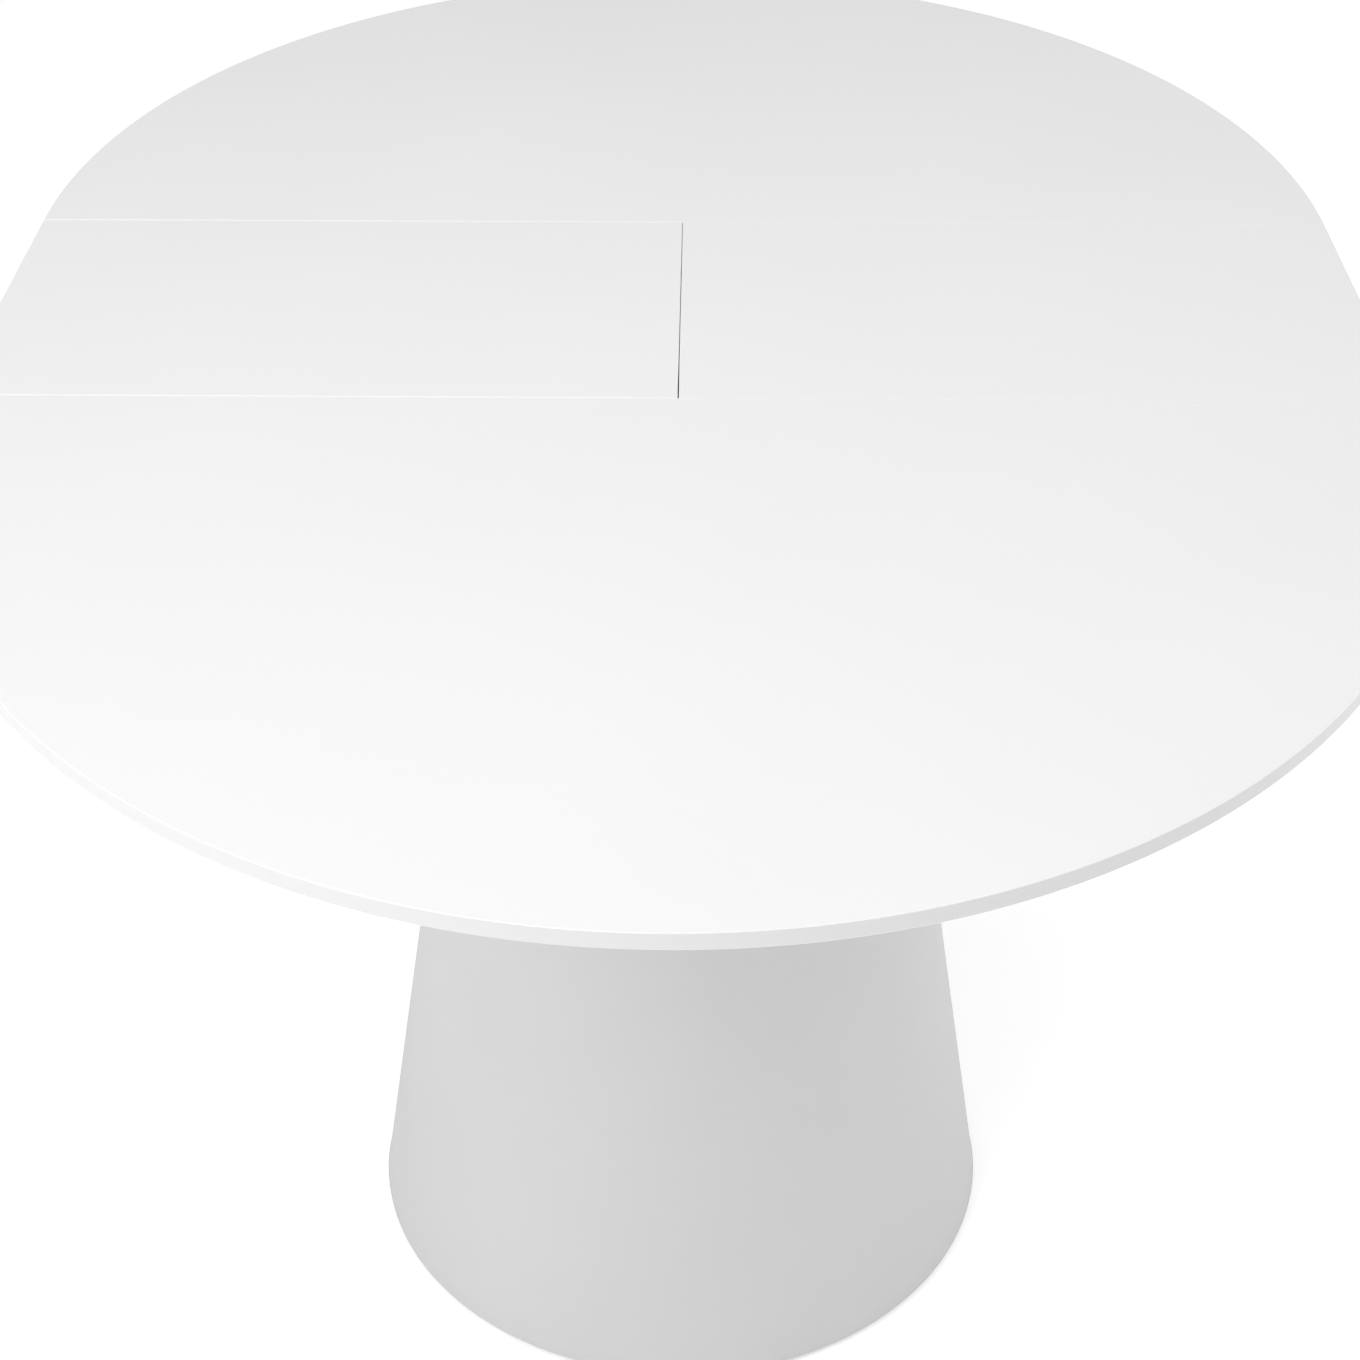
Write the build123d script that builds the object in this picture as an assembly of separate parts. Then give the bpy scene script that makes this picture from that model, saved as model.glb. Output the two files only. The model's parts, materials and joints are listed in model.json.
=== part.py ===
"""Extending oval pedestal table with a folding centre leaf that stows under the top.

Millimetres. +Z is up, the floor is z = 0 and the origin is on the floor under the pedestal's axis.
The two top halves part along Y. The leaf lies between them and its two halves are hinged at x = 0.
Shown in use: halves apart, leaf up and level with them.
"""
import os
from math import acos, cos, pi, radians, sin, tan

from build123d import *

# Overall sizes
TABLE_HEIGHT = 765.0
TOP_WIDTH = 900.0        # across X
HALF_LENGTH = 522.0      # each half, from its seam to its rounded end
LEAF_OPENING = 268.0     # between the two halves when the leaf is in
TOP_THICKNESS = 20.0
EDGE_BAND = 10.0         # upright part of the rim, above the undercut
UNDERCUT_RUN = 30.0      # how far the undercut runs in under the rim
RIM_ROUND = 2.0
SEAM_CHAMFER = 0.6
SEAM_GAP = 0.25          # between a half and the leaf
LEAF_GAP = 1.2           # between the two leaf halves

# Pedestal
FOOT_RADIUS = 239.0
NECK_RADIUS = 135.0
SHELL_WALL = 5.0
GLIDE_HEIGHT = 5.0
GLIDE_RADIUS = 15.0
GLIDE_COUNT = 6
FLOOR_PLATE = 8.0        # thickness
SHELL_LEDGE = 12.0       # ledge that stands on the floor plate
SHELL_LEDGE_HEIGHT = 8.0
SHELL_LIP = 8.0          # lip under the head plate
SHELL_FIT = 0.5          # floor plate inside the shell
HEAD_PLATE = 6.0
COLUMN_RADIUS = 38.0
COLUMN_WALL = 3.0
FLANGE_RADIUS = 80.0
FLANGE = 6.0
FLANGE_BOLT_CIRCLE = 65.0
BALLAST_RADIUS = 195.0
BALLAST_HOLE = 90.0
BALLAST_HEIGHT = 30.0

# Under-frame
BEAM = 30.0              # square tube
BEAM_WALL = 2.5
BEAM_Y = 100.0
BEAM_BOLT_X = 55.0
RAIL_INNER_X = 200.0
RAIL_DEPTH = 22.0        # across X
RAIL_WALL = 3.0
RAIL_LIP = 8.0           # beside the slot
RAIL_HALF_LENGTH = 345.0
CARRIER_CLEARANCE = 2.4  # rails below the stowed carriers
RAIL_HEIGHT = 32.0
RAIL_BOLT_Z = 2.0        # above the beam's mid-height

# Sliding half hardware
SLIDER_LENGTH = 310.0
SLIDER_OFFSET = 12.0     # from the half's seam
SLIDER_BAR = (12.0, 16.0)  # across X, height
SLIDER_NECK = 7.0        # height of the web through the rail's slot
SLIDER_PLATE = 4.0
SLIDER_STANDOFF = 4.0    # plate clear of the rail
GLIDE_BLOCK = 40.0
GLIDE_INSET = 10.0
RUNNING_GAP = 0.3
OVER_TRAVEL = 25.0       # how far past the leaf each half still pulls out
RISER_OFFSET = 138.0     # riser's near end from the seam
RISER_LENGTH = 170.0
RISER_SHEET = 3.0
RISER_FLANGE = 32.0
WELL_CLEARANCE = 2.0     # between the closed top and the stowed leaf
STACK_GAP = 0.6          # between the folded leaf's two faces
BATTEN = (300.0, 40.0, 18.0)
BATTEN_OFFSET = 330.0    # from the seam

# Rack and pinion that keeps the halves in step
MODULE = 1.5
PINION_TEETH = 16
GEAR_HEIGHT = 8.0
GEAR_LIFT = 3.0          # above the head plate
BACKLASH = 0.3
RACK_BACK = 7.0          # behind the tooth roots
RACK_END_MARGIN = 10.0
RACK_BRACKET_OFFSET = 138.0
BRACKET_SHEET = 4.0
BRACKET_WIDTH = 30.0
BRACKET_FLANGE = 30.0
RACK_WINDOW_GAP = 1.5
BORE_FIT = 0.06

# Leaf lift
ARM_LENGTH = 60.0
ARM_WIDTH = 16.0
ARM_SHEET = 4.0
ARM_OVER_CENTRE = 5.0    # degrees past upright when the leaf is up
PIVOT_X = 100.0
ARM_Y = 71.5
EYE_DROP = 9.0           # eye below the leaf's underside
CARRIER_Y = 67.0
CARRIER_SHEET = 3.0
CARRIER_FLANGE = 27.0
CARRIER_HEIGHT = 15.0
CARRIER_X = (-330.0, 250.0)
EYE_PIN = 4.0            # radius
OPEN_EYE_GAP = 0.3
SHAFT = 5.0              # radius
PIVOT_FIT = 0.06
BUSH_WALL = 2.0
BUSH_FLANGE = 1.5
BUSH_FLANGE_WIDTH = 3.0
STOP_PIN = 4.0           # radius
STOP_HEIGHT = 10.5
STOP_GAP = 0.1
BUFFER_RADIUS = 6.0
BUFFER_X = 60.0
BUFFER_GAP = 0.4

# Leaf hinges
BARREL_RADIUS = 6.5
BARREL_LENGTH = 14.0
BARREL_RECESS = 0.3
BARREL_SLOT = (3.0, 9.0, 8.0)  # across Y, height, depth
HINGE_Y = (50.0, -100.0)
MAGNET_RADIUS = 5.0
MAGNET_DEPTH = 5.0
MAGNET_X = 300.0

# Lock hooks under the rear half, keepers under the front half
LOCK_X = 397.0
LOCK_PIVOT_OFFSET = 30.0
LOCK_REACH = 52.0
LOCK_WIDTH = 16.0
LOCK_SHEET = 4.0
LOCK_DROP = 4.0          # hook's top below the underside
KEEPER_PIN = 4.0         # radius
KEEPER_FIT = 0.5
KEEPER_PLATE = (22.0, 24.0, 2.0)

# Fasteners (radii)
WOOD_SCREW = 2.0
WOOD_SCREW_HEAD = 4.0
WOOD_SCREW_HEAD_HEIGHT = 2.0
WOOD_SCREW_BITE = 12.0
M8 = 4.0
M8_HEAD = 6.5
M8_HEAD_HEIGHT = 5.3
M6 = 3.0
M6_HEAD = 5.0
M6_HEAD_HEIGHT = 3.3

# Levels and places that follow from the sizes above
SURFACE = TABLE_HEIGHT
UNDERSIDE = SURFACE - TOP_THICKNESS
SEAM_Y = LEAF_OPENING / 2
LEAF_HALF_DEPTH = SEAM_Y - SEAM_GAP
STOWED_UNDERSIDE = UNDERSIDE - WELL_CLEARANCE - 2 * TOP_THICKNESS - STACK_GAP
EYE_Z = UNDERSIDE - EYE_DROP
PIVOT_Z = EYE_Z - ARM_LENGTH * cos(radians(ARM_OVER_CENTRE))
EYE_SHIFT = ARM_LENGTH * sin(radians(ARM_OVER_CENTRE))  # eye toward -X of its pivot
BEAM_TOP = PIVOT_Z + BEAM / 2
BEAM_BOTTOM = PIVOT_Z - BEAM / 2
HEAD_TOP = BEAM_BOTTOM
HEAD_BOTTOM = HEAD_TOP - HEAD_PLATE
SHELL_TOP = HEAD_BOTTOM
PLATE_TOP = GLIDE_HEIGHT + FLOOR_PLATE
RAIL_TOP = STOWED_UNDERSIDE - CARRIER_HEIGHT - CARRIER_CLEARANCE
RAIL_BOTTOM = RAIL_TOP - RAIL_HEIGHT
RAIL_OUTER_X = RAIL_INNER_X + RAIL_DEPTH
RAIL_MID_X = RAIL_INNER_X + RAIL_WALL + (RAIL_DEPTH - 2 * RAIL_WALL) / 2
RAIL_MID_Z = (RAIL_TOP + RAIL_BOTTOM) / 2
BEAM_INNER_Y = BEAM_Y - BEAM / 2
PLATE_X = RAIL_OUTER_X + SLIDER_STANDOFF
RISER_X = PLATE_X + SLIDER_PLATE
PITCH_RADIUS = MODULE * PINION_TEETH / 2
GEAR_BOTTOM = HEAD_TOP + GEAR_LIFT
GEAR_TOP = GEAR_BOTTOM + GEAR_HEIGHT
RACK_FAR = PITCH_RADIUS + 1.25 * MODULE + RACK_BACK
LOCK_TOP = UNDERSIDE - LOCK_DROP
LOCK_PIVOT_Y = SEAM_Y + LOCK_PIVOT_OFFSET
KEEPER_Y = -SEAM_Y - (LOCK_REACH - LOCK_PIVOT_OFFSET)

PARTS = {}


def keep(name, shape):
    """Files a finished node under its name."""
    PARTS[name] = shape
    return shape


def block(x, y, z):
    """A box given by its two limits on each axis."""
    size = [abs(high - low) for low, high in (x, y, z)]
    centre = [(high + low) / 2 for low, high in (x, y, z)]
    return Pos(*centre) * Box(*size)


def rod(radius, start, end):
    """A round bar between two points."""
    start, end = Vector(*start), Vector(*end)
    way = end - start
    return extrude(Plane(origin=start, z_dir=way) * Circle(radius), way.length)


def turned(points):
    """A solid turned about Z from (radius, height) points."""
    outline = Polyline(*[(r, 0, z) for r, z in points], close=True)
    return revolve(make_face(outline), Axis.Z)


def along_y(points, y_low, y_high):
    """An XZ outline drawn out along Y."""
    outline = Polyline(*[(x, y_low, z) for x, z in points], close=True)
    return extrude(make_face(outline), amount=y_high - y_low, dir=(0, 1, 0))


def mirrored_y(shape):
    return mirror(shape, about=Plane.XZ)


def mirrored_x(shape):
    return mirror(shape, about=Plane.YZ)


def half_turn(shape):
    return Rot(0, 0, 180) * shape


def four_ways(shape):
    """The shape, its mirror images and its half turn."""
    return [shape, mirrored_x(shape), mirrored_y(shape), half_turn(shape)]


def group(shapes):
    """Separate solids kept together as one node."""
    return Compound(children=[solid for shape in shapes for solid in shape.solids()])


def cut(shape, holes):
    for hole in holes:
        shape -= hole
    return shape


def around(count, radius, phase=0.0):
    """Evenly spaced points on a circle about the axis."""
    turns = [phase + 2 * pi * k / count for k in range(count)]
    return [(radius * cos(t), radius * sin(t)) for t in turns]


def bolt(seat, tip, radius=M8, head=M8_HEAD, head_height=M8_HEAD_HEIGHT):
    """A hexagon bolt: its head stands on seat, its shank ends at tip."""
    seat, tip = Vector(*seat), Vector(*tip)
    outward = (seat - tip).normalized()
    cap = extrude(Plane(origin=seat, z_dir=outward) * RegularPolygon(head, 6), head_height)
    return rod(radius, tuple(tip), tuple(seat)) + cap


def nut(start, end, across, bore):
    """A hexagon nut between two points on its bolt's axis."""
    start, end = Vector(*start), Vector(*end)
    outline = RegularPolygon(across, 6) - Circle(bore)
    return extrude(Plane(origin=start, z_dir=end - start) * outline, (end - start).length)


def wood_screw(x, y, seat):
    """A pan-head screw driven up into a board; its head hangs below seat."""
    shank = rod(WOOD_SCREW, (x, y, seat), (x, y, UNDERSIDE + WOOD_SCREW_BITE))
    return shank + rod(WOOD_SCREW_HEAD, (x, y, seat - WOOD_SCREW_HEAD_HEIGHT), (x, y, seat))


# ---- Pedestal ------------------------------------------------------------------------------

def shell_radius(z):
    """Outside radius of the tapered shell at a height."""
    share = (z - GLIDE_HEIGHT) / (SHELL_TOP - GLIDE_HEIGHT)
    return FOOT_RADIUS + (NECK_RADIUS - FOOT_RADIUS) * share


def base_shell():
    """Tapered shell with a ledge that stands on the floor plate and a lip under the head plate."""
    low, top = GLIDE_HEIGHT, SHELL_TOP
    ledge_top = PLATE_TOP + SHELL_LEDGE_HEIGHT

    def inside(z):
        return shell_radius(z) - SHELL_WALL

    shell = turned([
        (shell_radius(low), low), (shell_radius(top), top),
        (inside(top) - SHELL_LIP, top), (inside(top) - SHELL_LIP, top - SHELL_WALL),
        (inside(top - SHELL_WALL), top - SHELL_WALL), (inside(ledge_top), ledge_top),
        (inside(ledge_top) - SHELL_LEDGE, ledge_top), (inside(ledge_top) - SHELL_LEDGE, PLATE_TOP),
        (inside(PLATE_TOP), PLATE_TOP), (inside(low), low),
    ])
    foot = [e for e in shell.edges() if e.geom_type == GeomType.CIRCLE
            and abs(e.center().Z - low) < 0.01 and e.radius > inside(low) + 1]
    return fillet(foot, 2.5)


def pedestal():
    keep("base_shell", base_shell())

    plate_radius = shell_radius(PLATE_TOP) - SHELL_WALL - SHELL_FIT
    flange_top = PLATE_TOP + FLANGE
    foot_points = around(4, FLANGE_BOLT_CIRCLE, pi / 4)
    foot_bolts = [bolt((x, y, flange_top), (x, y, GLIDE_HEIGHT + 1)) for x, y in foot_points]
    glide_points = around(GLIDE_COUNT, plate_radius - 2 * GLIDE_RADIUS)
    glide_pins = [rod(M6, (x, y, GLIDE_HEIGHT), (x, y, PLATE_TOP)) for x, y in glide_points]
    plate = rod(plate_radius, (0, 0, GLIDE_HEIGHT), (0, 0, PLATE_TOP))
    keep("floor_plate", cut(plate, foot_bolts + glide_pins))
    glides = []
    for (x, y), pin in zip(glide_points, glide_pins):
        pad = rod(GLIDE_RADIUS, (x, y, 0), (x, y, GLIDE_HEIGHT))
        glides.append(fillet(pad.edges().group_by(Axis.Z)[0], 1.5) + pin)
    keep("floor_glides", group(glides))

    ballast = rod(BALLAST_RADIUS, (0, 0, PLATE_TOP), (0, 0, PLATE_TOP + BALLAST_HEIGHT))
    ballast -= rod(BALLAST_HOLE, (0, 0, PLATE_TOP), (0, 0, PLATE_TOP + BALLAST_HEIGHT))
    keep("ballast_ring", chamfer(ballast.edges().group_by(Axis.Z)[-1], 2))

    column = rod(COLUMN_RADIUS, (0, 0, flange_top), (0, 0, SHELL_TOP - FLANGE))
    column -= rod(COLUMN_RADIUS - COLUMN_WALL, (0, 0, flange_top), (0, 0, SHELL_TOP - FLANGE))
    keep("column_tube", column)
    foot_flange = rod(FLANGE_RADIUS, (0, 0, PLATE_TOP), (0, 0, flange_top))
    foot_flange -= rod(COLUMN_RADIUS - COLUMN_WALL, (0, 0, PLATE_TOP), (0, 0, flange_top))

    head_flange = rod(FLANGE_RADIUS, (0, 0, SHELL_TOP - FLANGE), (0, 0, SHELL_TOP))
    head_flange -= rod(COLUMN_RADIUS - COLUMN_WALL, (0, 0, SHELL_TOP - FLANGE), (0, 0, SHELL_TOP))
    head_plate = rod(NECK_RADIUS, (0, 0, HEAD_BOTTOM), (0, 0, HEAD_TOP))
    # countersunk, so that nothing stands up under the gears
    head_screws = []
    for x, y in around(4, FLANGE_BOLT_CIRCLE, pi / 4):
        sunk = Pos(x, y, HEAD_TOP - M8 / 2) * Cone(M8, M8 + M8, M8)
        head_screws.append(rod(M8, (x, y, SHELL_TOP - FLANGE - 12), (x, y, HEAD_TOP)) + sunk)
    beam_points = [(sx * BEAM_BOLT_X, sy * BEAM_Y) for sx in (-1, 1) for sy in (-1, 1)]
    beam_bolts = [bolt((x, y, BEAM_TOP), (x, y, HEAD_BOTTOM - 10), M6, M6_HEAD, M6_HEAD_HEIGHT)
                  for x, y in beam_points]
    post = rod(M6, (0, 0, HEAD_BOTTOM), (0, 0, GEAR_TOP + 2.5))
    post += rod(M6_HEAD, (0, 0, HEAD_TOP), (0, 0, GEAR_BOTTOM - RUNNING_GAP))
    post_head = rod(M6_HEAD, (0, 0, GEAR_TOP + RUNNING_GAP), (0, 0, GEAR_TOP + 2.5))
    keep("pinion_post", group([Compound(children=[post_head - post]), Compound(children=[post])]))
    keep("head_plate", cut(head_plate, head_screws + beam_bolts + [post]))
    keep("column_flanges", group([cut(foot_flange, foot_bolts), cut(head_flange, head_screws)]))
    keep("frame_bolts", group(foot_bolts + head_screws + beam_bolts))
    nuts = [nut((x, y, SHELL_TOP - FLANGE), (x, y, SHELL_TOP - FLANGE - 6.5), M8_HEAD, M8)
            for x, y in around(4, FLANGE_BOLT_CIRCLE, pi / 4)]
    nuts += [nut((x, y, HEAD_BOTTOM), (x, y, HEAD_BOTTOM - 5), M6_HEAD, M6)
             for x, y in beam_points]
    keep("frame_nuts", group(nuts))
    return beam_bolts


# ---- Under-frame ---------------------------------------------------------------------------

def rail_outline():
    """Fixed rail on the right: a C that opens outward."""
    wall, lip = RAIL_WALL, RAIL_LIP
    x0, x1, z0, z1 = RAIL_INNER_X, RAIL_OUTER_X, RAIL_BOTTOM, RAIL_TOP
    return [(x0, z0), (x1, z0), (x1, z0 + wall + lip), (x1 - wall, z0 + wall + lip),
            (x1 - wall, z0 + wall), (x0 + wall, z0 + wall), (x0 + wall, z1 - wall),
            (x1 - wall, z1 - wall), (x1 - wall, z1 - wall - lip), (x1, z1 - wall - lip),
            (x1, z1), (x0, z1)]


def under_frame(beam_bolts):
    rail = along_y(rail_outline(), -RAIL_HALF_LENGTH, RAIL_HALF_LENGTH)
    cap_x = RAIL_INNER_X - RAIL_WALL
    rail_screws = []
    for sy in (-1, 1):
        sunk_x = RAIL_INNER_X + RAIL_WALL
        for dy in (-7, 7):
            y = sy * BEAM_Y + dy
            shank = rod(M6 - 1, (cap_x - 8, y, PIVOT_Z + RAIL_BOLT_Z), (sunk_x, y, PIVOT_Z + RAIL_BOLT_Z))
            head = Plane(origin=(sunk_x, y, PIVOT_Z + RAIL_BOLT_Z), z_dir=(-1, 0, 0))
            sunk = extrude(head * Circle(M6 + 1), 2, taper=45)
            rail_screws.append(shank + sunk)
    left_screws = [mirrored_x(s) for s in rail_screws]
    keep("fixed_rail_right", cut(rail, rail_screws))
    keep("fixed_rail_left", cut(mirrored_x(rail), left_screws))
    keep("rail_screws", group(rail_screws + left_screws))

    half, wall = BEAM / 2, BEAM_WALL
    y0, y1 = BEAM_Y - half, BEAM_Y + half
    end = RAIL_INNER_X - RAIL_WALL
    beam = block((-end, end), (y0, y1), (BEAM_BOTTOM, BEAM_TOP))
    beam -= block((-end, end), (y0 + wall, y1 - wall), (BEAM_BOTTOM + wall, BEAM_TOP - wall))
    near = PITCH_RADIUS - MODULE - RACK_WINDOW_GAP
    window = block((near, RACK_FAR + RACK_WINDOW_GAP), (y0, y1),
                   (GEAR_BOTTOM - RACK_WINDOW_GAP, GEAR_TOP + RACK_WINDOW_GAP))
    beam = cut(beam, [window, mirrored_x(window)])
    bush_radius = SHAFT + PIVOT_FIT + BUSH_WALL
    bushes, stops = [], []
    for x in (-PIVOT_X, PIVOT_X):
        deep = BEAM_INNER_Y + BEAM_WALL + 5
        body = rod(bush_radius, (x, BEAM_INNER_Y, PIVOT_Z), (x, deep, PIVOT_Z))
        bore = rod(SHAFT + PIVOT_FIT, (x, 0, PIVOT_Z), (x, SEAM_Y, PIVOT_Z))
        rim = rod(bush_radius + BUSH_FLANGE_WIDTH, (x, BEAM_INNER_Y - BUSH_FLANGE, PIVOT_Z),
                  (x, BEAM_INNER_Y, PIVOT_Z))
        beam -= body
        bushes.append(body + rim - bore)
        lean = radians(ARM_OVER_CENTRE)
        reach = (ARM_WIDTH / 2 + STOP_PIN + STOP_GAP) / cos(lean) + STOP_HEIGHT * tan(lean)
        spot = (x - reach, PIVOT_Z + STOP_HEIGHT)
        pin = rod(STOP_PIN, (spot[0], ARM_Y, spot[1]), (spot[0], y0 + wall, spot[1]))
        beam -= pin
        stops.append(pin)
    pocket = block((end - 12, end), (y0 + wall, y1 - wall), (BEAM_BOTTOM + wall, BEAM_TOP - wall))
    cap = pocket + block((end, RAIL_INNER_X), (y0, y1), (BEAM_BOTTOM, BEAM_TOP))
    caps = [cut(cap, rail_screws), cut(mirrored_y(cap), rail_screws)]
    caps += [cut(mirrored_x(cap), left_screws), cut(half_turn(cap), left_screws)]
    keep("crossbeam_rear", cut(beam, beam_bolts))
    keep("crossbeam_front", cut(mirrored_y(beam), beam_bolts))
    keep("beam_end_blocks", group(caps))
    keep("pivot_bushes", group(bushes + [mirrored_y(b) for b in bushes]))
    keep("lift_stops", group(stops + [mirrored_y(s) for s in stops]))

    top = STOWED_UNDERSIDE - CARRIER_HEIGHT - BUFFER_GAP
    buffer = rod(BUFFER_RADIUS, (BUFFER_X, CARRIER_Y + CARRIER_SHEET - BUFFER_RADIUS, HEAD_TOP),
                 (BUFFER_X, CARRIER_Y + CARRIER_SHEET - BUFFER_RADIUS, top))
    keep("rest_buffers", group(four_ways(buffer)))


# ---- Rack and pinion -----------------------------------------------------------------------

def tooth_half_angle(radius):
    """Half the angle a pinion tooth spans at a radius, along an involute of 20 degrees."""
    base = PITCH_RADIUS * cos(radians(20))
    pressure = acos(min(1.0, base / radius))
    at_pitch = pi / 2 / PINION_TEETH - BACKLASH / 4 / PITCH_RADIUS
    return at_pitch + tan(radians(20)) - radians(20) - tan(pressure) + pressure


def gears():
    top, root = MODULE, 1.25 * MODULE
    quarter = pi * MODULE / 4 - BACKLASH / 4
    slope = tan(radians(20))
    low, high = PITCH_RADIUS - root, PITCH_RADIUS + top
    radii = [low, low + 0.35 * (high - low), low + 0.55 * (high - low), low + 0.8 * (high - low), high]
    points = []
    for k in range(PINION_TEETH):
        middle = 2 * pi * k / PINION_TEETH
        flank = [(radius, tooth_half_angle(radius)) for radius in radii]
        for radius, half in flank:
            points.append((radius * cos(middle - half), radius * sin(middle - half)))
        for radius, half in reversed(flank):
            points.append((radius * cos(middle + half), radius * sin(middle + half)))
    outline = make_face(Polyline(*points, close=True))
    pinion = Pos(0, 0, GEAR_BOTTOM) * extrude(outline, GEAR_HEIGHT)
    pinion -= rod(M6 + BORE_FIT, (0, 0, GEAR_BOTTOM), (0, 0, GEAR_TOP))
    keep("pinion", pinion)

    # tooth k of the pinion points along +X, so a rack gap is centred on y = 0
    pitch = pi * MODULE
    y_low = -(RACK_END_MARGIN + OVER_TRAVEL)
    y_high = SEAM_Y + RACK_BRACKET_OFFSET + BRACKET_FLANGE
    back = RACK_FAR
    profile = [(back, y_low), (PITCH_RADIUS + root, y_low)]
    first = int((y_low + pitch) / pitch) - 1
    for k in range(first, int((SEAM_Y + 2 * MODULE) / pitch)):
        middle = (k + 0.5) * pitch
        if middle - pitch / 2 < y_low + 0.5:
            continue
        profile += [(PITCH_RADIUS + root, middle - quarter - root * slope),
                    (PITCH_RADIUS - top, middle - quarter + top * slope),
                    (PITCH_RADIUS - top, middle + quarter - top * slope),
                    (PITCH_RADIUS + root, middle + quarter + root * slope)]
    profile += [(PITCH_RADIUS + root, y_high), (back, y_high)]
    rack = Pos(0, 0, GEAR_BOTTOM) * extrude(make_face(Polyline(*profile, close=True)), GEAR_HEIGHT)
    bracket_y = SEAM_Y + RACK_BRACKET_OFFSET
    x0 = (PITCH_RADIUS + root + back) / 2 - BRACKET_WIDTH / 2
    x1 = x0 + BRACKET_WIDTH
    foot = block((x0, x1), (bracket_y, bracket_y + BRACKET_FLANGE), (GEAR_TOP, GEAR_TOP + BRACKET_SHEET))
    upright = block((x0, x1), (bracket_y, bracket_y + BRACKET_SHEET), (GEAR_TOP, UNDERSIDE))
    flange = block((x0, x1), (bracket_y, bracket_y + BRACKET_FLANGE), (UNDERSIDE - BRACKET_SHEET, UNDERSIDE))
    bracket = foot + upright + flange
    rack_mid = (PITCH_RADIUS + root + back) / 2
    foot_bolt_y = bracket_y + BRACKET_FLANGE / 2 + 2
    rack_bolt = bolt((rack_mid, foot_bolt_y, GEAR_TOP + BRACKET_SHEET), (rack_mid, foot_bolt_y, GEAR_BOTTOM + 1),
                     2.0, 3.6, 2.8)
    screws = [wood_screw(x, bracket_y + BRACKET_FLANGE / 2 + 4, UNDERSIDE - BRACKET_SHEET)
              for x in (x0 + 6, x1 - 6)]
    rack -= rack_bolt
    bracket = cut(bracket, screws + [rack_bolt])
    turn = Rot(0, 0, 180)
    keep("rack_rear", rack)
    keep("rack_front", turn * rack)
    keep("rack_bracket_rear", bracket)
    keep("rack_bracket_front", turn * bracket)
    rear = screws
    front = [turn * s for s in screws]
    return rear, front, rack_bolt, turn * rack_bolt


# ---- Top halves ----------------------------------------------------------------------------

def bevel_cut_x(y, inward):
    """Wedge that eases the top edge of a seam running along X; inward is the board's side."""
    size = SEAM_CHAMFER
    corners = [(y - inward * size, SURFACE + size), (y + inward * 2 * size, SURFACE + size),
               (y - inward * size, SURFACE - 2 * size)]
    outline = make_face(Polyline(*[(-TOP_WIDTH, a, b) for a, b in corners], close=True))
    return extrude(outline, amount=2 * TOP_WIDTH, dir=(1, 0, 0))


def bevel_cut_y(x, inward):
    """The same wedge for a seam running along Y."""
    size = SEAM_CHAMFER
    corners = [(x - inward * size, SURFACE + size), (x + inward * 2 * size, SURFACE + size),
               (x - inward * size, SURFACE - 2 * size)]
    return along_y(corners, -SEAM_Y, SEAM_Y)


def half_board():
    """The rear half of the top: half an oval with its seam at SEAM_Y."""
    drop = TOP_THICKNESS - EDGE_BAND
    oval = Ellipse(TOP_WIDTH / 2, HALF_LENGTH)
    inner_oval = Ellipse(TOP_WIDTH / 2 - UNDERCUT_RUN, HALF_LENGTH - UNDERCUT_RUN)
    keep_side = Pos(0, HALF_LENGTH / 2) * Rectangle(TOP_WIDTH, HALF_LENGTH)
    top = Pos(0, 0, UNDERSIDE + drop) * extrude(oval & keep_side, EDGE_BAND)
    top_rim = top.edges().filter_by(GeomType.ELLIPSE).group_by(Axis.Z)[-1]
    top = fillet(top_rim, RIM_ROUND)
    under = loft([Plane.XY.offset(UNDERSIDE) * inner_oval, Plane.XY.offset(UNDERSIDE + drop) * oval])
    under &= block((-TOP_WIDTH, TOP_WIDTH), (0, 2 * HALF_LENGTH), (UNDERSIDE, UNDERSIDE + drop))
    board = Pos(0, SEAM_Y, 0) * (top + under)
    return board - bevel_cut_x(SEAM_Y, 1)


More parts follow.
